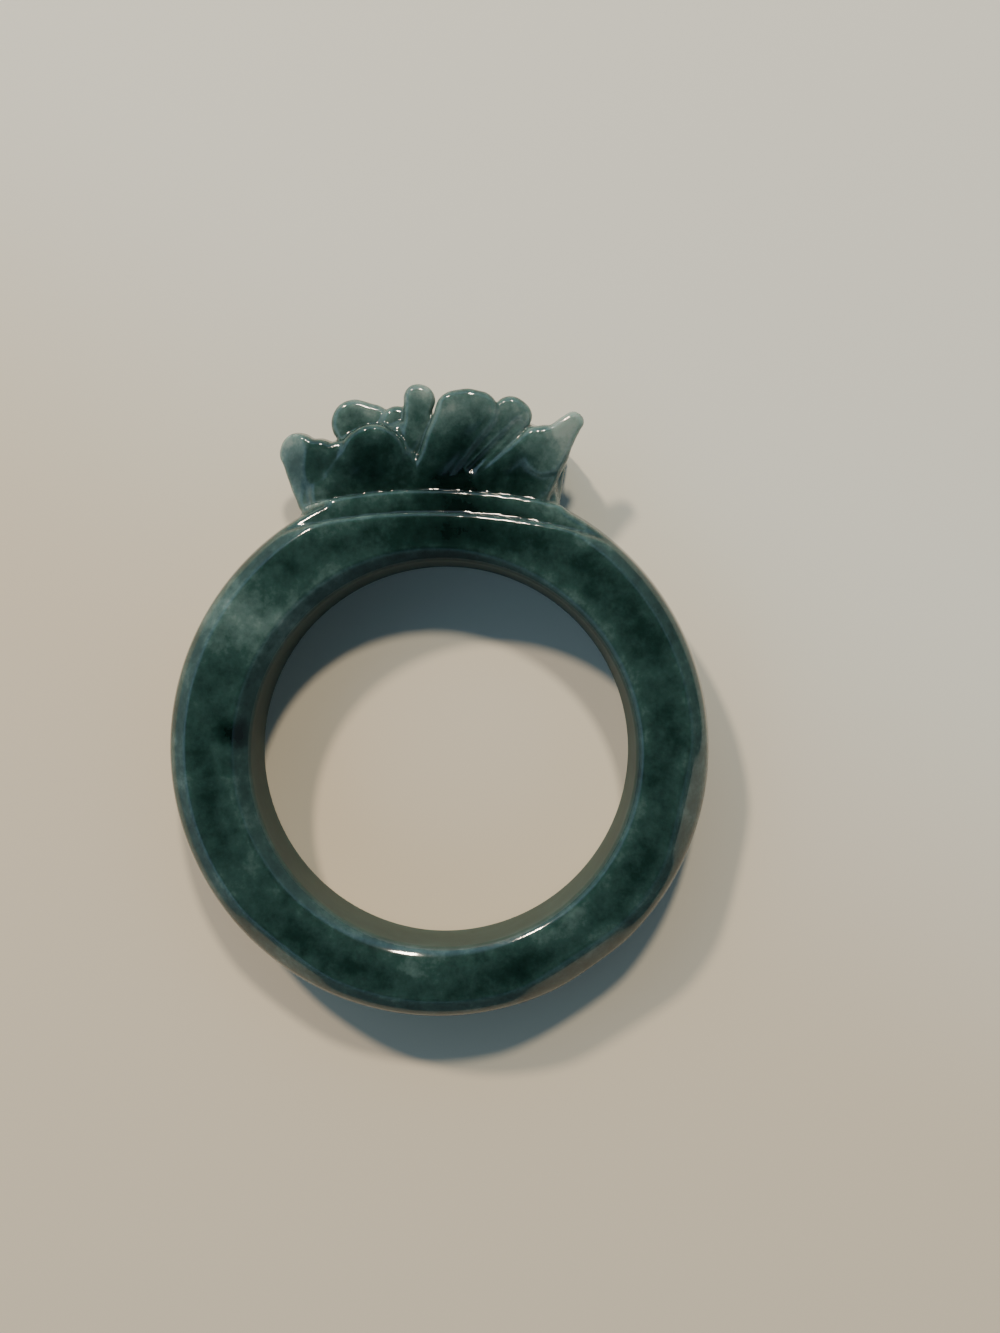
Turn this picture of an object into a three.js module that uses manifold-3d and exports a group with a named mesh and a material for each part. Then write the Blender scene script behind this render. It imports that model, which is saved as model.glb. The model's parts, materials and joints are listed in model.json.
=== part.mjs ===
// A jade finger ring with a flower crest, all carved from one stone. It lies on its side:
// the bore, where the finger goes, runs along Z, and the crest points along +Y.
// Sizes are in millimetres and angles in degrees.

import * as THREE from 'three';
import { mergeVertices } from 'three/addons/utils/BufferGeometryUtils.js';
import Module from 'manifold-3d';

// Band: a turned blank with flat sides and a swelling outer face.
const BORE_RADIUS = 8.75;
const BAND_WIDTH = 5.0; // along the finger
const SIDE_WALL = 2.85; // from the bore to the corner of the flat side
const SWELL = 0.87; // how far the outer face swells past that corner
const BLANK_SHIFT = { x: -0.19, y: 0.27 }; // the hand-ground blank isn't centred on the bore

// Bore edges: a small chamfer all round, and a wider one ground off-centre on the upper side.
const EDGE_CHAMFER = 0.3;
const WIDE_CHAMFER = { depth: 0.42, shift: 0.34, direction: 165 };

// Flats ground on the corners. The one at 90 degrees, on both sides, makes room for the crest.
const UPPER_FLATS = [
  { direction: 90, depth: 0.91 },
  { direction: 232, depth: 0.2 },
  { direction: 303, depth: 0.34 },
  { direction: 347, depth: 0.36 },
];
const LOWER_FLATS = [{ direction: 90, depth: 0.8 }];
const CORNER_TILT = 45; // of a corner flat, from the side towards the outer face
const OUTER_FLAT = { direction: 306, depth: 0.17 }; // ground on the outer face

// Crest: it grows from the band at SEAT, and is drawn from there in shares of CREST_HEIGHT,
// with x along the crest and y away from the finger.
const CREST_HEIGHT = 4.95;
const CREST_OFFSET = -0.6; // along X, from the bore's axis
const SEAT_SINK = 0.74; // how far the seat lies below the swell's highest point

// The fan that the petals are carved on: its foot, neck and wing on each side, and the arc
// through the valleys between the petals.
const FAN = {
  left: { foot: { x: -1.13, y: -0.34 }, neck: { x: -1.16, y: -0.02 }, wing: { x: -1.24, y: 0.38 } },
  right: { foot: { x: 1.38, y: -0.34 }, neck: { x: 1.0, y: 0.02 } },
  valleys: { x: 0.3, y: -1.15, r: 1.93, start: 58, end: 124 },
};
const FAN_SLABS = [
  { level: 0.625, thick: 0.36, flare: 11 },
  { level: 0.35, thick: 0.36, flare: -8 },
];

// A petal is two rounded ends, each with its radius r, and straight sides between them.
// Levels and thicknesses are shares of BAND_WIDTH, and a flare leans the tip towards +Z.
const PETALS = [
  // The upper row, from the left wing to the hooked right wing.
  { root: { x: -1.01, y: -0.02, r: 0.2 }, tip: { x: -1.236, y: 0.394, r: 0.172 }, level: 0.65, thick: 0.3, flare: 12 },
  { root: { x: -0.86, y: 0.06, r: 0.24 }, tip: { x: -0.93, y: 0.23, r: 0.2 }, level: 0.69, thick: 0.3, flare: 12 },
  { root: { x: -0.78, y: 0.04, r: 0.3 }, tip: { x: -0.505, y: 0.475, r: 0.263 }, level: 0.7, thick: 0.3, flare: 13 },
  { root: { x: -0.02, y: 0.16, r: 0.16 }, tip: { x: 0.327, y: 0.737, r: 0.259 }, level: 0.71, thick: 0.3, flare: 12 },
  { root: { x: 0.36, y: 0.2, r: 0.08 }, tip: { x: 0.768, y: 0.752, r: 0.158 }, level: 0.64, thick: 0.3, flare: 12 },
  { root: { x: 0.8, y: 0.06, r: 0.28 }, tip: { x: 1.05, y: 0.404, r: 0.212 }, level: 0.71, thick: 0.28, flare: 13 },
  { root: { x: 0.55, y: 0.2, r: 0.1 }, tip: { x: 0.95, y: 0.5, r: 0.14 }, level: 0.73, thick: 0.24, flare: 13 },
  { root: { x: 1.08, y: 0.36, r: 0.19 }, tip: { x: 1.333, y: 0.667, r: 0.081 }, level: 0.79, thick: 0.26, flare: 10 },
  // The plain foot in front of the grooves.
  { root: { x: -0.9, y: 0.0, r: 0.2 }, tip: { x: 0.82, y: 0.0, r: 0.2 }, level: 0.66, thick: 0.34, flare: 6 },
  // The middle row, which shows behind and between the upper petals.
  { root: { x: -0.364, y: 0.62, r: 0.121 }, tip: { x: -0.727, y: 0.657, r: 0.208 }, level: 0.5, thick: 0.36, flare: 0 },
  { root: { x: -0.15, y: 0.2, r: 0.15 }, tip: { x: -0.101, y: 0.865, r: 0.137 }, level: 0.6, thick: 0.34, flare: 3 },
  { root: { x: -0.3, y: 0.3, r: 0.12 }, tip: { x: -0.313, y: 0.667, r: 0.11 }, level: 0.62, thick: 0.34, flare: 4 },
  { root: { x: 0.26, y: 0.2, r: 0.2 }, tip: { x: 0.303, y: 0.82, r: 0.212 }, level: 0.45, thick: 0.34, flare: -2 },
  // The lower row, plainer.
  { root: { x: -0.98, y: -0.02, r: 0.22 }, tip: { x: -1.17, y: 0.36, r: 0.18 }, level: 0.33, thick: 0.32, flare: -9 },
  { root: { x: -0.58, y: 0.04, r: 0.3 }, tip: { x: -0.62, y: 0.46, r: 0.27 }, level: 0.32, thick: 0.32, flare: -9 },
  { root: { x: -0.08, y: 0.08, r: 0.26 }, tip: { x: -0.08, y: 0.6, r: 0.25 }, level: 0.32, thick: 0.32, flare: -8 },
  { root: { x: 0.42, y: 0.08, r: 0.26 }, tip: { x: 0.5, y: 0.57, r: 0.24 }, level: 0.32, thick: 0.32, flare: -8 },
  { root: { x: 0.9, y: 0.0, r: 0.34 }, tip: { x: 1.12, y: 0.42, r: 0.19 }, level: 0.33, thick: 0.32, flare: -9 },
];

// Roundness of the carving, and fineness of the facets.
const PETAL_ROUNDING = 0.5;
const FAN_ROUNDING = 0.3;
const ROUNDING_STEPS = 3;
const OUTLINE_STEPS = 5;
const SWELL_STEPS = 8;
const TURNED_STEPS = 96;

const JADE = new THREE.MeshStandardMaterial({ color: 0x2b5046, roughness: 0.14, metalness: 0 });

const rad = THREE.MathUtils.degToRad;
const sideRadius = BORE_RADIUS + SIDE_WALL;
const outerRadius = sideRadius + SWELL;
const crestSeat = outerRadius + BLANK_SHIFT.y - SEAT_SINK;

const wasm = await Module();
wasm.setup();

// A closed three.js geometry as a solid that can be joined and cut.
function solidOf(geometry) {
  const bare = new THREE.BufferGeometry();
  bare.setAttribute('position', geometry.getAttribute('position'));
  if (geometry.index) bare.setIndex(geometry.index);
  const merged = mergeVertices(bare, 1e-4);
  const mesh = new wasm.Mesh({
    numProp: 3,
    vertProperties: new Float32Array(merged.attributes.position.array),
    triVerts: new Uint32Array(merged.index.array),
  });
  return new wasm.Manifold(mesh);
}

// The solid's faces as a geometry with flat facets.
function geometryOf(solid) {
  const mesh = solid.getMesh();
  const geometry = new THREE.BufferGeometry();
  geometry.setAttribute('position', new THREE.BufferAttribute(mesh.vertProperties, 3));
  geometry.setIndex(new THREE.BufferAttribute(mesh.triVerts, 1));
  const faceted = geometry.toNonIndexed();
  faceted.computeVertexNormals();
  return faceted;
}

// A solid turned about Z from [radius, height] points that start and end on the axis.
function turned(points) {
  const profile = points.map(([radius, height]) => new THREE.Vector2(radius, height));
  const geometry = new THREE.LatheGeometry(profile, TURNED_STEPS);
  return geometry.rotateX(Math.PI / 2);
}

// The blank that the band is ground from: flat sides, and an arc for the outer face.
function blank() {
  const half = BAND_WIDTH / 2;
  const arcRadius = (half ** 2 + SWELL ** 2) / (2 * SWELL);
  const reach = Math.asin(half / arcRadius);
  const profile = [[0, 0]];
  for (let i = 0; i <= SWELL_STEPS; i++) {
    const angle = reach * ((2 * i) / SWELL_STEPS - 1);
    const radius = outerRadius - arcRadius * (1 - Math.cos(angle));
    profile.push([radius, half + arcRadius * Math.sin(angle)]);
  }
  profile.push([0, BAND_WIDTH]);
  return solidOf(turned(profile).translate(BLANK_SHIFT.x, BLANK_SHIFT.y, 0));
}

// A block whose face is a ground flat: depth inside a circle of that radius round the
// blank's centre, tilted from the outer face, with its edge line at the given height.
function grindingBlock({ direction, depth }, radius, tilt, height) {
  const size = 2 * radius;
  const geometry = new THREE.BoxGeometry(size, size, size);
  geometry.translate(size / 2, 0, 0);
  geometry.rotateY(-rad(tilt));
  geometry.translate(radius - depth, 0, height);
  geometry.rotateZ(rad(direction));
  return solidOf(geometry.translate(BLANK_SHIFT.x, BLANK_SHIFT.y, 0));
}

// The blank with every flat ground on it.
function groundBlank() {
  const blocks = [
    ...UPPER_FLATS.map((flat) => grindingBlock(flat, sideRadius, CORNER_TILT, BAND_WIDTH)),
    ...LOWER_FLATS.map((flat) => grindingBlock(flat, sideRadius, -CORNER_TILT, 0)),
    grindingBlock(OUTER_FLAT, outerRadius, 0, BAND_WIDTH / 2),
  ];
  return blocks.reduce((solid, block) => solid.subtract(block), blank());
}

// A cone that opens towards +Z and takes off depth all round the bore at the upper side.
function chamferCone(depth) {
  const past = 1;
  const top = BORE_RADIUS + depth + past;
  return turned([[0, -top], [top, 0], [0, 0]]).translate(0, 0, BAND_WIDTH + past);
}

// What the drill and the chamfer cones take out for the finger.
function boreCut() {
  const past = 2;
  const top = BAND_WIDTH + past;
  const drill = turned([[0, -past], [BORE_RADIUS, -past], [BORE_RADIUS, top], [0, top]]);
  const upper = chamferCone(EDGE_CHAMFER);
  const lower = chamferCone(EDGE_CHAMFER).rotateX(Math.PI).translate(0, 0, BAND_WIDTH);
  const aim = rad(WIDE_CHAMFER.direction);
  const wide = chamferCone(WIDE_CHAMFER.depth);
  wide.translate(WIDE_CHAMFER.shift * Math.cos(aim), WIDE_CHAMFER.shift * Math.sin(aim), 0);
  return [upper, lower, wide].map(solidOf).reduce((cut, cone) => cut.add(cone), solidOf(drill));
}

// An outline of the crest, grown to real size, as a slab with rounded edges that leans by
// its flare and stands on the seat.
function slab(outline, { level, thick, flare }, rounding) {
  const thickness = thick * BAND_WIDTH;
  const geometry = new THREE.ExtrudeGeometry(outline, {
    depth: thickness - 2 * rounding,
    bevelThickness: rounding,
    bevelSize: rounding,
    bevelOffset: -rounding,
    bevelSegments: ROUNDING_STEPS,
    curveSegments: OUTLINE_STEPS,
  });
  geometry.translate(0, 0, rounding - thickness / 2);
  geometry.rotateX(rad(flare));
  return solidOf(geometry.translate(CREST_OFFSET, crestSeat, level * BAND_WIDTH));
}

const grown = (share) => share * CREST_HEIGHT;

// The fan: out from the foot to each wing, and an arc over the top.
function fanOutline({ left, right, valleys }) {
  const { x, y, r } = valleys;
  const start = rad(valleys.start);
  const outline = new THREE.Shape();
  const curve = (control, end) =>
    outline.quadraticCurveTo(grown(control.x), grown(control.y), grown(end.x), grown(end.y));
  outline.moveTo(grown(left.foot.x), grown(left.foot.y));
  outline.lineTo(grown(right.foot.x), grown(right.foot.y));
  curve(right.neck, { x: x + r * Math.cos(start), y: y + r * Math.sin(start) });
  outline.absarc(grown(x), grown(y), grown(r), start, rad(valleys.end));
  outline.lineTo(grown(left.wing.x), grown(left.wing.y));
  curve(left.neck, left.foot);
  return outline;
}

// A petal: two rounded ends joined by straight sides.
function petalOutline(root, tip) {
  const dx = tip.x - root.x;
  const dy = tip.y - root.y;
  const heading = Math.atan2(dy, dx);
  const wrap = Math.acos((root.r - tip.r) / Math.hypot(dx, dy));
  const outline = new THREE.Shape();
  const end = ({ x, y, r }, start, stop) => outline.absarc(grown(x), grown(y), grown(r), start, stop);
  end(tip, heading - wrap, heading + wrap);
  end(root, heading + wrap, heading - wrap + 2 * Math.PI);
  return outline;
}

function petal(spec) {
  const narrow = grown(Math.min(spec.root.r, spec.tip.r));
  const rounding = Math.min(PETAL_ROUNDING, 0.9 * narrow, 0.45 * spec.thick * BAND_WIDTH);
  return slab(petalOutline(spec.root, spec.tip), spec, rounding);
}

const crest = [...FAN_SLABS.map((lean) => slab(fanOutline(FAN), lean, FAN_ROUNDING)), ...PETALS.map(petal)]
  .reduce((solid, next) => solid.add(next));

const ring = new THREE.Mesh(geometryOf(groundBlank().add(crest).subtract(boreCut())), JADE);
ring.name = 'jade_ring';

// The origin is at the bottom centre of the box round the ring.
const box = new THREE.Box3().setFromObject(ring);
const middle = box.getCenter(new THREE.Vector3());
ring.position.set(-middle.x, -middle.y, -box.min.z);

const part = new THREE.Group();
part.add(ring);

export default part;
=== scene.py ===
# %% [markdown]
# # A jade ring with a flower crest
# The real ring is one piece of jade: a turned band with a crest of overlapping petals. It was
# ground, carved, and then polished until no tool mark was sharp any more. This lesson models
# that order. Rounded solids are joined and cut in one distance field, and a mesh is drawn on
# its surface. Boolean and bevel modifiers would do for the band, but they break up where many
# petals meet, while a distance field rounds every edge and crease by itself.

# %% Load the frame
import json
import math

import bpy
import numpy as np
import openvdb
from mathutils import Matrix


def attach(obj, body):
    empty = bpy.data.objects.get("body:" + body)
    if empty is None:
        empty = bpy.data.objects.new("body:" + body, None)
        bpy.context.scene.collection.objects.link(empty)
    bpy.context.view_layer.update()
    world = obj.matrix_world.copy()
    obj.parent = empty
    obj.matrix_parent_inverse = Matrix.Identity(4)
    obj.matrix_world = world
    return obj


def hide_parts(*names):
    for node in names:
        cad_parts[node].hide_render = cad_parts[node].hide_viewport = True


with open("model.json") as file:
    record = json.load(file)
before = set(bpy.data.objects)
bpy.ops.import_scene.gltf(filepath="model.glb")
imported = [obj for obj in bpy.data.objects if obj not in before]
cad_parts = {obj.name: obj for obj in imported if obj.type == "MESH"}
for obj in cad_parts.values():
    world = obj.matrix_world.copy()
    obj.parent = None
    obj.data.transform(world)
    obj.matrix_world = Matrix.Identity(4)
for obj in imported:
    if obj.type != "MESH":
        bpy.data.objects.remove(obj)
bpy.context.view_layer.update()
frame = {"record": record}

# %% [markdown]
# Everything is measured from the finger hole's axis, because the hole is what a ring maker
# starts from. The record gives the hole's clear box, and its middle is the axis.

# %% The bore's axis, and millimetres
MM = 0.001
finger_hole = frame["record"]["physics"]["openings"][0]["box_m"]
BORE_AXIS = np.array([(finger_hole[0][i] + finger_hole[1][i]) / 2 for i in range(2)] + [0.0])
print("Bore axis at", BORE_AXIS[:2] / MM, "mm")


def from_bore(x, y, z):
    """A place in millimetres from the bore's axis, as metres in the shared frame."""
    return tuple(BORE_AXIS + np.array([x, y, z]) * MM)


# %% [markdown]
# The photograph looks straight down: the near and far rims of the hole are almost concentric.
# Their ratio gives the camera's height, and their offset gives the point right below it.

# %% The camera
CAMERA_PLACE = (2.59, 3.95, 69.4)
FOCAL_PX = 1432
LONG_SIDE_PX = 1333
SENSOR_MM = 36.0

camera = bpy.data.objects.new("camera", bpy.data.cameras.new("camera"))
bpy.context.scene.collection.objects.link(camera)
camera.location = from_bore(*CAMERA_PLACE)
camera.data.sensor_width = SENSOR_MM
camera.data.lens = SENSOR_MM * FOCAL_PX / LONG_SIDE_PX
camera.data.clip_start = MM
bpy.context.scene.camera = camera
print("Camera", round(CAMERA_PLACE[2]), "mm above the floor, lens", round(camera.data.lens, 1), "mm")

# %% [markdown]
# A distance field says how far each point is from the surface, with minus inside the stone.
# Joining is a minimum and cutting a maximum. Their smooth forms leave the small radius that
# polishing leaves, so no separate bevel is needed.

# %% Joining and cutting


def join(a, b, radius):
    """The nearer of two surfaces, with a fillet of about that radius where they meet."""
    blend = np.maximum(radius - np.abs(a - b), 0.0)
    return np.minimum(a, b) - blend * blend / (4.0 * radius)


def keep_both(a, b, radius):
    """What lies inside both, with the edge between them rounded."""
    return -join(-a, -b, radius)


print("A 0.2 mm fillet fills the crease by", round(-join(0.0, 0.0, 0.2), 3), "mm")

# %% [markdown]
# The band is a turned blank, a little off-centre from the bore because it was ground by hand.
# Its outer face swells in an arc between two flat sides. Along each side's rim runs a narrow
# facet, and its inner edge stays crisp, so it shows as a fine line.

# %% The turned blank, in millimetres
BAND_WIDTH = 5.0
OUTER_RADIUS = 12.47
BLANK_SHIFT = (-0.19, 0.27)
SWELL = 0.52
SWELL_RADIUS = ((BAND_WIDTH / 2) ** 2 + SWELL ** 2) / (2 * SWELL)
POLISH = 0.2
RIM_FACET = {"radius": 11.45, "tilt": 36}
RIM_POLISH = 0.06
print("The outer face is an arc of", round(SWELL_RADIUS, 2), "mm")


def turned_blank(x, y, z):
    """The swelling outer face, both flat sides, and the facet along their rims."""
    out = np.hypot(x - BLANK_SHIFT[0], y - BLANK_SHIFT[1])
    up = z - BAND_WIDTH / 2
    swell = np.hypot(np.maximum(out - (OUTER_RADIUS - SWELL_RADIUS), 0.0), up) - SWELL_RADIUS
    sides = np.abs(up) - BAND_WIDTH / 2
    tilt = math.radians(RIM_FACET["tilt"])
    facet = (out - RIM_FACET["radius"]) * math.sin(tilt) + sides * math.cos(tilt)
    return keep_both(keep_both(swell, facet, POLISH), sides, RIM_POLISH)


# %% [markdown]
# A hand-held blank meets the grinding wheel in a few flats. Most take off a corner at 45
# degrees, and one runs across the outer face. Each is one more plane to stay inside of.

# %% Ground flats: direction in degrees, depth in millimetres, and side (1 upper, -1 lower)
SIDE_RADIUS = 11.6
CORNER_FLATS = [(232, 0.2, 1), (303, 0.34, 1), (347, 0.36, 1), (90, 0.8, -1)]
OUTER_FLAT = (306, 0.17)
print("Ground flats:", len(CORNER_FLATS), "on corners, 1 on the outer face")


def outwards(x, y, direction):
    """How far a point lies from the blank's middle in one direction."""
    turn = math.radians(direction)
    return (x - BLANK_SHIFT[0]) * math.cos(turn) + (y - BLANK_SHIFT[1]) * math.sin(turn)


def ground_blank(x, y, z):
    """The turned blank with its flats."""
    blank = turned_blank(x, y, z)
    up = z - BAND_WIDTH / 2
    for direction, depth, side in CORNER_FLATS:
        past = outwards(x, y, direction) - (SIDE_RADIUS - depth)
        blank = keep_both(blank, (past + side * up - BAND_WIDTH / 2) / math.sqrt(2), POLISH)
    direction, depth = OUTER_FLAT
    return keep_both(blank, outwards(x, y, direction) - (OUTER_RADIUS - depth), POLISH)


# %% [markdown]
# Under the crest the band's side goes down in two steps, cut along flat arcs, so that the
# petals stand free. Seen from above, their edges are the two fine lines at the crest's foot.
# A step takes away what lies both past its arc and above its level.

# %% The ledge: each step's arc radius, and the level that it goes down to
LEDGE_CENTRE = (-0.6, -16.0)
LEDGE_STEPS = [(26.9, 4.55), (27.95, 3.5)]
LEDGE_EDGE = 0.19
LEDGE_CORNER = 0.04
print("Ledge:", [round(BAND_WIDTH - level, 2) for _, level in LEDGE_STEPS], "mm below the side")


def from_ledge_centre(x, y):
    """How far a point lies from the middle of the ledge's arcs."""
    return np.hypot(x - LEDGE_CENTRE[0], y - LEDGE_CENTRE[1])


def blank_field(x, y, z):
    """The blank, whole, with its flats and its ledge."""
    blank = ground_blank(x, y, z)
    for radius, level in LEDGE_STEPS:
        step = join(from_ledge_centre(x, y) - radius, z - level, LEDGE_CORNER)
        blank = keep_both(blank, step, LEDGE_EDGE)
    return blank


# %% [markdown]
# The hole is drilled, and its edges are broken with narrow chamfers. The upper one is wider on
# the left, where the cone of the tool stood off-centre.

# %% The bore
BORE_RADIUS = 8.75
BORE_POLISH = 0.09
EDGE_CHAMFER = 0.3
WIDE_CHAMFER = {"depth": 0.42, "shift": 0.34, "direction": 165}
print("Bore:", 2 * BORE_RADIUS, "mm across")


def chamfer(out, depth, below_rim):
    """A 45 degree cone round the hole's edge, as deep as it is wide."""
    return (out - BORE_RADIUS - depth + below_rim) / math.sqrt(2)


def bore_field(x, y, z):
    """The space that the drill and the chamfers take out."""
    out = np.hypot(x, y)
    turn = math.radians(WIDE_CHAMFER["direction"])
    shift = WIDE_CHAMFER["shift"]
    wide_out = np.hypot(x - shift * math.cos(turn), y - shift * math.sin(turn))
    hole = join(out - BORE_RADIUS, chamfer(out, EDGE_CHAMFER, BAND_WIDTH - z), BORE_POLISH)
    hole = join(hole, chamfer(out, EDGE_CHAMFER, z), BORE_POLISH)
    return join(hole, chamfer(wide_out, WIDE_CHAMFER["depth"], BAND_WIDTH - z), BORE_POLISH / 2)


# %% [markdown]
# The crest is a fan with petals in relief. Seen from the finger side, petals lie in three rows
# that lean apart as a flower opens. Each is placed one by one on the photograph. Some lie in twos
# and threes a little apart, which gives a petal its broad, layered rim.

# %% Petals: (root x, y, radius), (tip x, y, radius), mid level at the seat, lean, thickness
UPPER_ROW = [
    ((-5.60, 12.0, 1.30), (-6.62, 13.85, 0.97), 2.90, 16, 1.6),
    ((-5.00, 12.4, 1.30), (-5.75, 13.50, 1.05), 2.95, 16, 1.6),
    ((-4.60, 12.6, 1.20), (-4.62, 13.52, 0.98), 3.02, 16, 1.5),
    ((-3.70, 12.2, 2.00), (-3.20, 13.60, 1.62), 3.10, 17, 1.5),
    ((-1.90, 12.4, 1.20), (-1.88, 13.42, 0.74), 3.05, 17, 1.5),
    ((-0.90, 12.6, 0.75), (0.66, 15.74, 1.02), 3.12, 16, 1.5),
    ((-0.40, 13.0, 0.60), (1.14, 15.86, 0.98), 3.12, 16, 1.5),
    ((0.00, 12.9, 0.50), (1.62, 15.76, 0.94), 3.10, 16, 1.5),
    ((0.35, 12.5, 0.80), (3.04, 15.72, 0.78), 2.98, 15, 1.5),
    ((1.00, 12.7, 0.60), (3.40, 15.54, 0.70), 2.96, 15, 1.5),
    ((3.40, 12.3, 1.60), (4.62, 14.00, 1.18), 3.10, 17, 1.4),
    ((1.64, 12.44, 0.55), (4.14, 14.50, 0.60), 3.25, 17, 1.2),
    ((4.60, 13.7, 1.05), (5.92, 15.22, 0.50), 3.40, 14, 1.2),
    ((-5.36, 12.0, 0.90), (3.76, 12.0, 0.90), 3.06, 14, 1.66),
]
MIDDLE_ROW = [
    ((-3.30, 15.1, 1.00), (-4.15, 15.22, 1.08), 2.70, 3, 1.8),
    ((-2.20, 14.9, 0.90), (-2.15, 15.20, 0.80), 2.80, 5, 1.7),
    ((-1.55, 13.9, 0.40), (-1.10, 16.22, 0.76), 2.95, 9, 1.7),
    ((0.69, 13.0, 0.99), (0.90, 16.04, 1.04), 2.25, -2, 1.7),
]
LOWER_ROW = [
    ((-5.45, 11.9, 1.09), (-6.39, 13.8, 0.89), 1.65, -9, 1.6),
    ((-3.47, 12.2, 1.49), (-3.67, 14.3, 1.34), 1.60, -9, 1.6),
    ((-1.00, 12.4, 1.29), (-1.00, 15.0, 1.24), 1.60, -8, 1.6),
    ((1.48, 12.4, 1.29), (1.88, 14.8, 1.19), 1.60, -8, 1.6),
    ((3.86, 12.0, 1.68), (4.94, 14.1, 0.94), 1.65, -9, 1.6),
]
print("Petals:", len(UPPER_ROW), "upper,", len(MIDDLE_ROW), "middle,", len(LOWER_ROW), "lower")

# %% [markdown]
# Petals and fan are the same kind of thing: a flat outline with thickness and round edges,
# which leans about the seat of the crest. So one function does that for any outline.

# %% A leaning slab
SEAT = 12.0


def leaning_slab(outline, y, z, mid, thick, edge, lean, taper=0.0):
    """An outline with thickness and round edges. outline is a function of the leant y.

    taper is what each millimetre above the seat takes off the slab's inner side.
    """
    tilt = math.radians(lean)
    up = (y - SEAT) * math.cos(tilt) + (z - mid) * math.sin(tilt) + SEAT
    across = (z - mid) * math.cos(tilt) - (y - SEAT) * math.sin(tilt)
    beside = outline(up) + edge
    outer = across if lean > 0 else -across
    thinner = taper * np.maximum(up - SEAT, 0.0)
    through = np.maximum(outer, thinner - outer) - thick / 2 + edge
    inside = np.minimum(np.maximum(beside, through), 0.0)
    return inside + np.hypot(np.maximum(beside, 0.0), np.maximum(through, 0.0)) - edge


print("Slabs lean about a line", SEAT, "mm from the bore's axis")

# %% [markdown]
# A petal's outline is two round ends with straight sides between them. It gets thinner
# towards its tip, on the side that faces the middle of the flower. Without that, the crest
# would look like a row of thick pads from behind.

# %% One petal
PETAL_EDGE = 0.36
PETAL_TAPER = 0.15
EDGE_SHARE_OF_RADIUS = 0.9


def stretch(x, y, start, end):
    """How far along a straight line the nearest point lies, from 0 to 1, and its distance."""
    run = end[0] - start[0]
    rise = end[1] - start[1]
    share = ((x - start[0]) * run + (y - start[1]) * rise) / (run ** 2 + rise ** 2)
    share = np.clip(share, 0, 1)
    return share, np.hypot(x - start[0] - share * run, y - start[1] - share * rise)


def petal_field(x, y, z, petal):
    """One petal, from its line in a row's list."""
    (root_x, root_y, root_r), (tip_x, tip_y, tip_r), mid, lean, thick = petal

    def outline(up):
        share, nearest = stretch(x, up, (root_x, root_y), (tip_x, tip_y))
        return nearest - (root_r + share * (tip_r - root_r))

    edge = min(PETAL_EDGE, EDGE_SHARE_OF_RADIUS * min(root_r, tip_r))
    return leaning_slab(outline, y, z, mid, thick, edge, lean, PETAL_TAPER)


print("Petals get", PETAL_TAPER, "mm thinner with each millimetre above the seat")

# %% [markdown]
# The fan fills what lies behind and between the petals: its outline runs from a foot in the
# band over a narrow neck to each wing, and an arc joins the wings through the valleys. One
# slab of it leans with the upper row and one with the lower.

# %% The fan's outline, and its slabs as (mid level at the seat, thickness, lean)
FAN_LEFT = {"foot": (-6.55, 10.32), "neck": (-6.60, 11.9), "wing": (-6.80, 13.88)}
FAN_RIGHT = {"foot": (6.23, 10.32), "neck": (4.35, 12.1)}
VALLEYS = {"x": 0.885, "y": 6.3, "radius": 9.55, "start": 58, "end": 124, "points": 9}
BEND_STEPS = 6
FAN_EDGE = 0.35
UPPER_FAN = (2.52, 1.8, 14)
LOWER_FAN = (1.75, 1.8, -8)


def bend(start, control, end):
    """Points of a quadratic curve, its start left out."""
    start, control, end = map(np.array, (start, control, end))
    t = np.linspace(0, 1, BEND_STEPS + 1)[1:, None]
    return (1 - t) ** 2 * start + 2 * t * (1 - t) * control + t ** 2 * end


def fan_outline():
    """The outline's corners, from the right foot over both wings to the left foot."""
    turn = np.radians(np.linspace(VALLEYS["start"], VALLEYS["end"], VALLEYS["points"]))
    arc = np.stack([VALLEYS["x"] + VALLEYS["radius"] * np.cos(turn),
                    VALLEYS["y"] + VALLEYS["radius"] * np.sin(turn)], axis=1)
    right = bend(FAN_RIGHT["foot"], FAN_RIGHT["neck"], arc[0])
    left = bend(FAN_LEFT["wing"], FAN_LEFT["neck"], FAN_LEFT["foot"])
    return np.vstack([[FAN_RIGHT["foot"]], right, arc[1:], [FAN_LEFT["wing"]], left])


FAN_POINTS = fan_outline()
print("Fan outline:", len(FAN_POINTS), "points")


def fan_field(x, y, z, slab):
    """A slab of the fan. A ray from inside crosses its outline an odd number of times."""
    mid, thick, lean = slab

    def outline(up):
        nearest = np.full(up.shape, np.inf)
        inside = np.zeros(up.shape, dtype=bool)
        for start, end in zip(FAN_POINTS, np.roll(FAN_POINTS, -1, axis=0)):
            nearest = np.minimum(nearest, stretch(x, up, start, end)[1])
            run, rise = end - start
            if rise:
                crosses = (start[1] > up) != (end[1] > up)
                inside ^= crosses & (x < start[0] + (up - start[1]) * run / rise)
        return np.where(inside, -nearest, nearest)

    return leaning_slab(outline, y, z, mid, thick, FAN_EDGE, lean)


# %% [markdown]
# The crest is wider than the band's rim there, so the ledge runs on past the rim as a shelf
# that belongs to the crest. It is the fan again, without its lean and with its upper part cut
# off along the ledge's outer arc.

# %% The shelf
SHELF = (3.6, 1.9, 0)


def shelf_field(x, y, z):
    """The foot of the crest, which carries the ledge on past the band's rim."""
    end_radius = LEDGE_STEPS[-1][0]
    return keep_both(fan_field(x, y, z, SHELF), from_ledge_centre(x, y) - end_radius, LEDGE_EDGE)


print("Shelf top:", SHELF[0] + SHELF[1] / 2, "mm above the floor")

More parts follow.
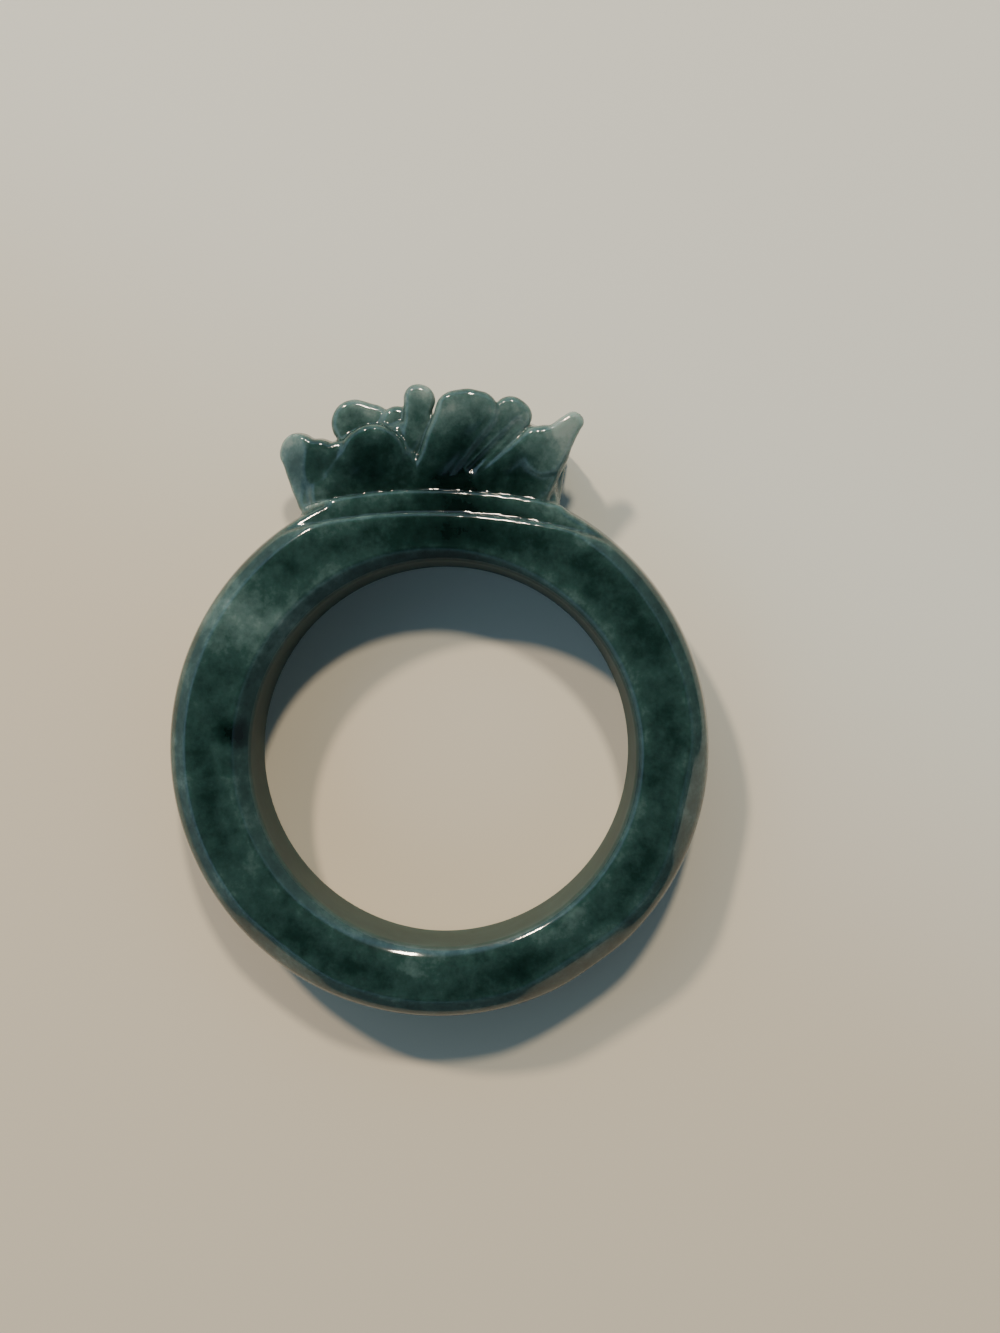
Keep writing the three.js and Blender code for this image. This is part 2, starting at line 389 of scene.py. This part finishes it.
# %% [markdown]
# A carver sets off the petals with a pointed burr. Such a groove is a rod taken out of the
# surface, and one runs down the channel under the right knob. The left wing's rim is one flat
# facet, ground off along a fold.

# %% The groove and the fold
GROOVE = {"start": (1.24, 12.95, 4.06), "end": (3.42, 15.0, 4.68), "radius": 0.19}
FOLD = {"place": (-6.42, 13.4, 4.12), "direction": (0.31, -0.95), "tilt": 36}
GROOVE_EDGE = 0.08


def rod_field(x, y, z, start, end, radius):
    """A straight rod with round ends."""
    run = np.array(end) - np.array(start)
    reach = (x - start[0]) * run[0] + (y - start[1]) * run[1] + (z - start[2]) * run[2]
    share = np.clip(reach / run.dot(run), 0, 1)
    gap = (x - start[0] - share * run[0]) ** 2 + (y - start[1] - share * run[1]) ** 2
    return np.sqrt(gap + (z - start[2] - share * run[2]) ** 2) - radius


def fold_facet(x, y, z):
    """A tilted plane through the fold's line."""
    place_x, place_y, place_z = FOLD["place"]
    run, rise = FOLD["direction"]
    beside = (x - place_x) * rise - (y - place_y) * run
    tilt = math.radians(FOLD["tilt"])
    return beside * math.sin(tilt) + (z - place_z) * math.cos(tilt)


print("Groove", 2 * GROOVE["radius"], "mm wide, fold tilted by", FOLD["tilt"], "degrees")

# %% [markdown]
# Hand carving leaves no face quite even, and a polished face shows that in its reflections.
# Crossed sine waves stand for it: long ones of about 2.5 mm and short ones of half that.

# %% The carving's unevenness: each wave's radians per millimetre of x, y and z, and its phase
CARVING_MM = 0.035
LONG_WAVES = [(2.3, 0.0, 1.1, 0.4), (-0.9, 2.7, 0.0, 1.9)]
SHORT_WAVES = [(4.9, -2.2, 0.0, 2.6), (0.0, 4.3, 1.7, 0.7)]
LONG_SHARE = 0.65


def crossed(x, y, z, waves):
    """The product of slanting waves."""
    product = 1.0
    for per_x, per_y, per_z, phase in waves:
        product = product * np.sin(per_x * x + per_y * y + per_z * z + phase)
    return product


def carved_unevenness(x, y, z):
    """What carving takes off here and there, from nothing to twice CARVING_MM."""
    long = crossed(x, y, z, LONG_WAVES)
    short = crossed(x, y, z, SHORT_WAVES)
    return CARVING_MM * (1.0 + LONG_SHARE * long + (1.0 - LONG_SHARE) * short)


print("Carving takes off up to", 2 * CARVING_MM, "mm")

# %% [markdown]
# Now the crest can be put together. The petals of a row meet in fine creases, and the rows in
# wider ones. The worn stretch of the hole's edge, where the finger rubs, gets a larger radius.

# %% The crest and the whole stone
PETAL_CREASE = 0.12
ROW_CREASE = 0.2
SEAT_FILLET = 0.12
WORN_EDGE = {"extra": 0.5, "direction": -95, "spread": 32}
CREST_FROM_Y = 9.6
CREST_HALF_WIDTH = 9.5


def crest_row(x, y, z, petals, field):
    """A row's petals, joined to what they grow from."""
    for petal in petals:
        field = join(field, petal_field(x, y, z, petal), PETAL_CREASE)
    return field


def crest_field(x, y, z):
    """The crest alone, as it comes from the carver's hands."""
    upper = crest_row(x, y, z, UPPER_ROW, fan_field(x, y, z, UPPER_FAN))
    middle = crest_row(x, y, z, MIDDLE_ROW[1:], petal_field(x, y, z, MIDDLE_ROW[0]))
    lower = crest_row(x, y, z, LOWER_ROW, fan_field(x, y, z, LOWER_FAN))
    crest = join(join(upper, middle, ROW_CREASE), lower, ROW_CREASE)
    crest = join(crest, shelf_field(x, y, z), PETAL_CREASE)
    crest = keep_both(crest, -rod_field(x, y, z, **GROOVE), GROOVE_EDGE)
    return keep_both(crest, fold_facet(x, y, z), GROOVE_EDGE) + carved_unevenness(x, y, z)


def ring_field(x, y, z):
    """The whole stone. The crest is only worked out where it can matter."""
    stone = blank_field(x, y, z)
    near = (y > CREST_FROM_Y) & (np.abs(x) < CREST_HALF_WIDTH)
    stone[near] = join(stone[near], crest_field(x[near], y[near], z[near]), SEAT_FILLET)
    direction = np.degrees(np.arctan2(y, x)) - WORN_EDGE["direction"]
    worn = WORN_EDGE["extra"] * np.exp(-(direction / WORN_EDGE["spread"]) ** 2)
    return keep_both(stone, -bore_field(x, y, z), BORE_POLISH + worn)


wall_middle = np.array([[-10.6], [0.0], [BAND_WIDTH / 2]])
print("Stone around the middle of the left wall:", -ring_field(*wall_middle).round(2)[0], "mm")

# %% [markdown]
# The field is sampled on a fine grid, and a mesh is drawn where it changes sign. The mesh
# only nearly touches the true surface, so each vertex then slides down the field's slope to
# it. That brings the crisp creases back and leaves no stair steps.

# %% From field to mesh
GRID_MM = 0.125
MARGIN_MM = 0.5
STONE_LOW = np.array([-12.8, -12.4, 0.0])
STONE_HIGH = np.array([12.5, 17.2, 5.3])
SLOPE_STEP_MM = 0.01
FLATTEST_SLOPE = 0.1
SETTLING_ROUNDS = 3


def stone_mesh():
    """The points and faces where the field changes sign, in millimetres."""
    low = STONE_LOW - MARGIN_MM
    high = STONE_HIGH + MARGIN_MM
    counts = np.ceil((high - low) / GRID_MM).astype(int)
    axes = [low[i] + GRID_MM * np.arange(counts[i]) for i in range(3)]
    field = ring_field(*np.meshgrid(*axes, indexing="ij"))
    grid = openvdb.FloatGrid(1.0)
    grid.copyFromArray(field.astype(np.float32))
    points, triangles, quads = grid.convertToPolygons(0.0, 0.0)
    return points * GRID_MM + low, triangles, quads


def slope(points):
    """The field's gradient at each point, by central differences."""
    columns = []
    for axis in range(3):
        ahead = points.copy()
        behind = points.copy()
        ahead[:, axis] += SLOPE_STEP_MM
        behind[:, axis] -= SLOPE_STEP_MM
        columns.append((ring_field(*ahead.T) - ring_field(*behind.T)) / (2 * SLOPE_STEP_MM))
    return np.stack(columns, axis=1)


points, triangles, quads = stone_mesh()
for _ in range(SETTLING_ROUNDS):
    gradient = slope(points)
    steepness = np.maximum((gradient ** 2).sum(axis=1), FLATTEST_SLOPE)
    move = (ring_field(*points.T) / steepness)[:, None] * gradient
    points = points - np.clip(move, -GRID_MM / 2, GRID_MM / 2)
print("Mesh:", len(points), "vertices,", len(quads), "quads,", len(triangles), "triangles")

# %% [markdown]
# Jade looks pale and grey where it is thin and dark where it is thick, because light comes
# through the thin places. How much stone lies under each vertex is measured in the field. So
# is how sharply the surface bends outwards there, for fine pale lines along sharp edges: partly
# polish worn off, partly painted highlight. Faces tilted at the ground facets' slant get a
# painted sheen, told by where they face. The bore's wall is told by where it is.

# %% What the material needs to know at each vertex, from 0 to 1
DEPTHS_MM = (0.5, 1.0, 1.6, 2.2)
EDGE_STEP_MM = 0.05
EDGE_BENDS = (4.0, 12.0)
SHEEN_SLANT = {"middle": 0.75, "reach": 0.17, "blur": 0.06}
WALL_BLUR_MM = 0.1


def stone_depth(normals):
    """The share of stone found at a few depths straight under the surface."""
    found = [np.clip(-ring_field(*(points - normals * d).T) / d, -1, 1) for d in DEPTHS_MM]
    return np.clip(sum(found) / len(DEPTHS_MM), 0, 1)


# Fine pale lines along sharp edges: partly polish worn off, partly painted highlight.
def edge_wear_and_highlight():
    """Where the surface bends outwards, with a radius under about a quarter of a millimetre."""
    steps = [EDGE_STEP_MM * side * np.eye(3)[axis] for axis in range(3) for side in (-1, 1)]
    around = sum(ring_field(*(points + step).T) for step in steps)
    bend_out = (around - len(steps) * ring_field(*points.T)) / EDGE_STEP_MM ** 2
    return np.clip((bend_out - EDGE_BENDS[0]) / (EDGE_BENDS[1] - EDGE_BENDS[0]), 0, 1)


def painted_facet_sheen(normals):
    """Where the surface faces up at the slant of the ground facets, lightened there as painted sheen.
    """
    off = np.abs(normals[:, 2] - SHEEN_SLANT["middle"])
    return np.clip((SHEEN_SLANT["reach"] - off) / SHEEN_SLANT["blur"], 0, 1)


def bore_wall():
    """Whether a vertex lies on the hole's wall."""
    inside = BORE_RADIUS + EDGE_CHAMFER / 2 - np.hypot(points[:, 0], points[:, 1])
    return np.clip(inside / WALL_BLUR_MM, 0, 1)


gradient = slope(points)
normals = gradient / np.linalg.norm(gradient, axis=1)[:, None]
vertex_values = {
    "stone_depth": stone_depth(normals),
    "edge_wear_and_highlight": edge_wear_and_highlight(),
    "painted_facet_sheen": painted_facet_sheen(normals),
    "bore_wall": bore_wall(),
}
for name, values in vertex_values.items():
    print("Mean", name, values.mean().round(3))

# %% [markdown]
# The stone is one object. It rides on the frame's only body, takes the place of the plain CAD
# ring, and wears its jade slot.

# %% The ring
mesh = bpy.data.meshes.new("jade_stone")
faces = [list(map(int, face[::-1])) for polygons in (quads, triangles) for face in polygons]
mesh.from_pydata((points * MM + BORE_AXIS).tolist(), [], faces)
for name, values in vertex_values.items():
    mesh.attributes.new(name, "FLOAT", "POINT").data.foreach_set("value", values)
mesh.shade_smooth()
ring = bpy.data.objects.new("jade_stone", mesh)
bpy.context.scene.collection.objects.link(ring)
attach(ring, "root")
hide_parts("jade_ring")
print("Ring:", [round(size / MM, 2) for size in ring.dimensions], "mm")

# %% [markdown]
# A few helpers serve all materials: colours are written as the hex values that a picture
# shows, and one function adds a node with its settings and links.

# %% Helpers for materials


def linear(hex_colour):
    """An sRGB hex colour as linear red, green, blue and alpha."""
    channels = [int(hex_colour[i:i + 2], 16) / 255 for i in (1, 3, 5)]
    return tuple(c / 12.92 if c <= 0.04045 else ((c + 0.055) / 1.055) ** 2.4 for c in channels) + (1.0,)


def add(tree, kind, inputs=None, **settings):
    """Add a node. An input is a value, or a socket to link from."""
    node = tree.nodes.new(kind)
    for name, value in settings.items():
        setattr(node, name, value)
    for name, value in (inputs or {}).items():
        if isinstance(value, bpy.types.NodeSocket):
            tree.links.new(value, node.inputs[name])
        else:
            node.inputs[name].default_value = value
    return node


def ramp(tree, factor, stops, interpolation="EASE"):
    """A colour ramp from a list of (place, hex colour)."""
    node = add(tree, "ShaderNodeValToRGB", {"Fac": factor})
    node.color_ramp.interpolation = interpolation
    while len(node.color_ramp.elements) < len(stops):
        node.color_ramp.elements.new(0.5)
    for element, (place, colour) in zip(node.color_ramp.elements, stops):
        element.position = place
        element.color = linear(colour)
    return node.outputs["Color"]


def new_material(name):
    material = bpy.data.materials.new(name)
    material.use_nodes = True
    tree = material.node_tree
    tree.nodes.clear()
    shader = add(tree, "ShaderNodeBsdfPrincipled")
    add(tree, "ShaderNodeOutputMaterial", {"Surface": shader.outputs["BSDF"]})
    return material, tree, shader


print("Mid grey in linear light:", round(linear("#808080")[0], 3))

# %% [markdown]
# Jade is a felt of tiny crystals: hard, oily smooth after polishing, and cloudy. Its colour
# comes in clouds of some 3 mm, with fine fibres and specks in them. Three noises at real
# sizes make these, and a few soft patches put the light and dark clouds where this stone
# has them. The tones run straight from one colour to the next, because eased steps would
# leave hard-edged blotches.

# %% The jade's tones
JADE_NOISES = [
    # size in millimetres, detail, seed, and how far it lightens and darkens
    (3.2, 2.0, 3.0, 0.72),
    (0.8, 5.0, 8.0, 0.60),
    (0.22, 2.0, 1.0, 0.25),
]
VERTEX_TONES = [
    # what is known at each vertex, its usual value, and how far it lightens or darkens
    ("stone_depth", 0.9, -0.50),
    # pale lines on sharp edges: partly wear, partly painted highlight
    ("edge_wear_and_highlight", 0.0, 0.30),
    # painted sheen on faces tilted at the ground facets' slant
    ("painted_facet_sheen", 0.0, 0.08),
]
PATCHES = [
    # place from the bore, radius, and how far it lightens (+) or darkens (-)
    ((-8.8, 6.2, 3.5), 3.6, 0.36),
    ((-10.6, 2.6, 3.5), 2.6, 0.22),
    ((0.5, 10.3, 3.5), 5.5, -0.50),
    ((-9.6, 1.0, 4.5), 1.1, -0.75),
    ((10.9, 0.0, 3.0), 2.6, 0.25),
    ((9.0, -1.0, 4.5), 1.7, -0.35),
    ((-9.3, -5.4, 4.0), 2.2, 0.30),
    ((-6.0, -8.3, 4.0), 1.8, -0.20),
    ((3.4, -10.0, 4.0), 2.0, -0.20),
    ((-1.5, -10.2, 4.0), 3.0, 0.16),
    ((6.6, -8.0, 4.0), 2.2, 0.15),
    ((-3.4, 13.2, 4.0), 2.8, -0.36),
    ((0.5, 12.8, 4.0), 3.0, -0.24),
    ((5.5, 14.4, 4.4), 2.6, 0.14),
    ((-6.5, 13.4, 4.2), 2.0, -0.22),
    ((-11.6, 2.0, 4.5), 3.0, -0.10),
    ((-1.1, 15.8, 3.2), 1.8, -0.42),
    ((1.4, 16.0, 4.2), 1.5, -0.12),
    ((3.4, 12.6, 4.0), 1.5, -0.25),
]
BASE_TONE = 0.38
JADE_COLOURS = [
    (0.0, "#081714"),
    (0.25, "#162d29"),
    (0.5, "#2c4844"),
    (0.75, "#536d69"),
    (1.0, "#869690"),
]
NOISE_MEAN = 0.5
NOISE_ROUGHNESS = 0.6
print("Jade:", len(JADE_NOISES), "noises and", len(PATCHES), "patches")


def clouds(tree, place, size_mm, detail, seed):
    """Noise from 0 to 1 whose largest clouds have about that size."""
    noise = add(tree, "ShaderNodeTexNoise", {
        "Vector": place, "W": seed, "Scale": 1 / (size_mm * MM), "Detail": detail,
        "Roughness": NOISE_ROUGHNESS,
    }, noise_dimensions="4D")
    return noise.outputs["Fac"]


def patch(tree, place, centre, radius_mm, strength):
    """A soft round cloud: strength at its centre, nothing at its radius."""
    apart = add(tree, "ShaderNodeVectorMath", {0: place, 1: from_bore(*centre)}, operation="DISTANCE")
    fall = add(tree, "ShaderNodeMapRange", {
        "Value": apart.outputs["Value"], "From Min": 0.0, "From Max": radius_mm * MM,
        "To Min": strength, "To Max": 0.0,
    }, interpolation_type="SMOOTHSTEP")
    return fall.outputs["Result"]


def total(tree, values):
    result = values[0]
    for value in values[1:]:
        result = add(tree, "ShaderNodeMath", {0: result, 1: value}, operation="ADD").outputs[0]
    return result


def scaled(tree, value, centre, gain):
    """gain times how far the value is from its centre."""
    off = add(tree, "ShaderNodeMath", {0: value, 1: centre}, operation="SUBTRACT")
    return add(tree, "ShaderNodeMath", {0: off.outputs[0], 1: gain}, operation="MULTIPLY").outputs[0]


def at_vertex(tree, name):
    """One of the values that were kept on the mesh."""
    return add(tree, "ShaderNodeAttribute", attribute_name=name).outputs["Fac"]


def jade_colour(tree, place):
    """Every light and dark effect in one sum, which then picks the colour."""
    tones = [scaled(tree, clouds(tree, place, size, detail, seed), NOISE_MEAN, gain)
             for size, detail, seed, gain in JADE_NOISES]
    tones += [scaled(tree, at_vertex(tree, name), usual, gain) for name, usual, gain in VERTEX_TONES]
    tones += [patch(tree, place, *spec) for spec in PATCHES]
    return ramp(tree, total(tree, tones + [BASE_TONE]), JADE_COLOURS, "LINEAR")


# %% [markdown]
# Jade's index of refraction is about 1.6, and a good polish takes its roughness below 0.1.
# The drill leaves the hole's wall matt, and painted shade turns it an even, dull dark green.
# Light that enters spreads about a millimetre, green furthest. Polishing felt leaves faint ripples.

# %% Polished jade
JADE_IOR = 1.6
POLISHED_ROUGHNESS = 0.07
GROUND_ROUGHNESS = 0.75
BORE_SHADE_COLOUR = "#2b4037"
BORE_SHADE_SHARE = 0.7
SCATTER_WEIGHT = 0.6
SCATTER_MM = 1.2
SCATTER_BY_COLOUR = (0.5, 1.0, 0.8)
RIPPLE = {"size_mm": 1.1, "detail": 2.0, "seed": 5.0}
RIPPLE_HEIGHT_MM = 0.05
RIPPLE_STRENGTH = 0.15


def polished_jade():
    material, tree, shader = new_material("polished_jade")
    place = add(tree, "ShaderNodeTexCoord").outputs["Object"]
    wall = at_vertex(tree, "bore_wall")
    # The wall's dark dull green is painted shade for the inside of the hole.
    shaded_wall = add(tree, "ShaderNodeMixRGB", {
        "Fac": scaled(tree, wall, 0.0, BORE_SHADE_SHARE),
        "Color1": jade_colour(tree, place),
        "Color2": linear(BORE_SHADE_COLOUR),
    })
    tree.links.new(shaded_wall.outputs["Color"], shader.inputs["Base Color"])
    gloss = add(tree, "ShaderNodeMapRange", {
        "Value": wall, "To Min": POLISHED_ROUGHNESS, "To Max": GROUND_ROUGHNESS,
    })
    tree.links.new(gloss.outputs["Result"], shader.inputs["Roughness"])
    shader.inputs["IOR"].default_value = JADE_IOR
    shader.inputs["Subsurface Weight"].default_value = SCATTER_WEIGHT
    shader.inputs["Subsurface Scale"].default_value = SCATTER_MM * MM
    shader.inputs["Subsurface Radius"].default_value = SCATTER_BY_COLOUR
    bump = add(tree, "ShaderNodeBump", {
        "Height": clouds(tree, place, **RIPPLE), "Strength": RIPPLE_STRENGTH,
        "Distance": RIPPLE_HEIGHT_MM * MM,
    })
    tree.links.new(bump.outputs["Normal"], shader.inputs["Normal"])
    return material


ring.data.materials.append(polished_jade())
print("Material:", ring.data.materials[0].name)

# %% [markdown]
# The ring lies on a plain pale surface. Its warm grey is a matt paint, so it has no gloss.
# The light in the photograph gets cooler from the lower left to the upper right, and so does
# this paint, which is simpler than one more light.

# %% Floor
FLOOR_SIZE_MM = 12000
PAINT_ROUGHNESS = 0.8
PAINT_COLOURS = [(0.0, "#d9d1b9"), (1.0, "#e3e7da")]
COOLER_TOWARDS = (0.5, 0.87, 0.0)
COOLER_MM = (-8, 19)


def pale_paint():
    material, tree, shader = new_material("pale_paint")
    place = add(tree, "ShaderNodeTexCoord").outputs["Object"]
    across = add(tree, "ShaderNodeVectorMath", {0: place, 1: COOLER_TOWARDS}, operation="DOT_PRODUCT")
    cooler = add(tree, "ShaderNodeMapRange", {
        "Value": across.outputs["Value"], "From Min": COOLER_MM[0] * MM, "From Max": COOLER_MM[1] * MM,
    })
    colour = ramp(tree, cooler.outputs["Result"], PAINT_COLOURS)
    tree.links.new(colour, shader.inputs["Base Color"])
    shader.inputs["Roughness"].default_value = PAINT_ROUGHNESS
    return material


half = FLOOR_SIZE_MM / 2 * MM
corners = [(-half, -half, 0), (half, -half, 0), (half, half, 0), (-half, half, 0)]
floor_mesh = bpy.data.meshes.new("floor")
floor_mesh.from_pydata(corners, [], [(0, 1, 2, 3)])
floor_mesh.materials.append(pale_paint())
floor = bpy.data.objects.new("floor", floor_mesh)
bpy.context.scene.collection.objects.link(floor)
print("Floor", FLOOR_SIZE_MM, "mm wide")

# %% [markdown]
# Two shadows leave the ring in the photograph, one straight down the picture and one to the
# lower right. Each points away from its light, and its length gives the light's height. How
# soft its edge is gives the light's size.

# %% Lights
LIGHT_DISTANCE_MM = 420
LIGHTS = {
    "upper_left": {"towards": (-2.885, 4.218, 5.0), "size_mm": 34, "watts": 1.19, "colour": "#ffe3c6"},
    "above": {"towards": (0.42, 3.65, 5.0), "size_mm": 38, "watts": 1.03, "colour": "#fde9d0"},
}


def soft_light(name, towards, size_mm, watts, colour):
    data = bpy.data.lights.new(name, "AREA")
    data.shape = "DISK"
    data.size = size_mm * MM
    data.energy = watts
    data.color = linear(colour)[:3]
    light = bpy.data.objects.new(name, data)
    bpy.context.scene.collection.objects.link(light)
    aim = np.array(towards) / np.linalg.norm(towards)
    light.location = from_bore(*(aim * LIGHT_DISTANCE_MM))
    light.rotation_mode = "QUATERNION"
    light.rotation_quaternion = light.location.to_track_quat("Z", "Y")
    return light


for name, spec in LIGHTS.items():
    soft_light(name, **spec)
print("Lights:", ", ".join(LIGHTS))

# %% [markdown]
# The sky gives the bluish grey in the shadows and on the stone's slopes. It is dark straight
# above, where the camera is, because there it would veil the flat sides with a pale sheen.
# It is brightest high up on the upper left, where the steeper petals pick it up.

# %% The sky: colours from the horizon to straight above, and strength from side to side
SKY_COLOURS = [(0.0, "#8f989e"), (0.4, "#97a9b8"), (0.7, "#9cc2e6"), (0.87, "#0e1418")]
SKY_STRENGTH = {"From Min": -0.7, "From Max": 0.7, "To Min": 0.46, "To Max": 1.5}

world = bpy.data.worlds.new("studio")
world.use_nodes = True
sky = world.node_tree
background = sky.nodes["Background"]
view = add(sky, "ShaderNodeTexCoord").outputs["Generated"]
direction = add(sky, "ShaderNodeSeparateXYZ", {"Vector": view})
sky.links.new(ramp(sky, direction.outputs["Z"], SKY_COLOURS), background.inputs["Color"])
bright_side = add(sky, "ShaderNodeMath", {
    0: direction.outputs["Y"], 1: direction.outputs["X"],
}, operation="SUBTRACT")
strength = add(sky, "ShaderNodeMapRange", {"Value": bright_side.outputs[0], **SKY_STRENGTH})
sky.links.new(strength.outputs["Result"], background.inputs["Strength"])
bpy.context.scene.world = world
print("Sky:", len(SKY_COLOURS), "colours")
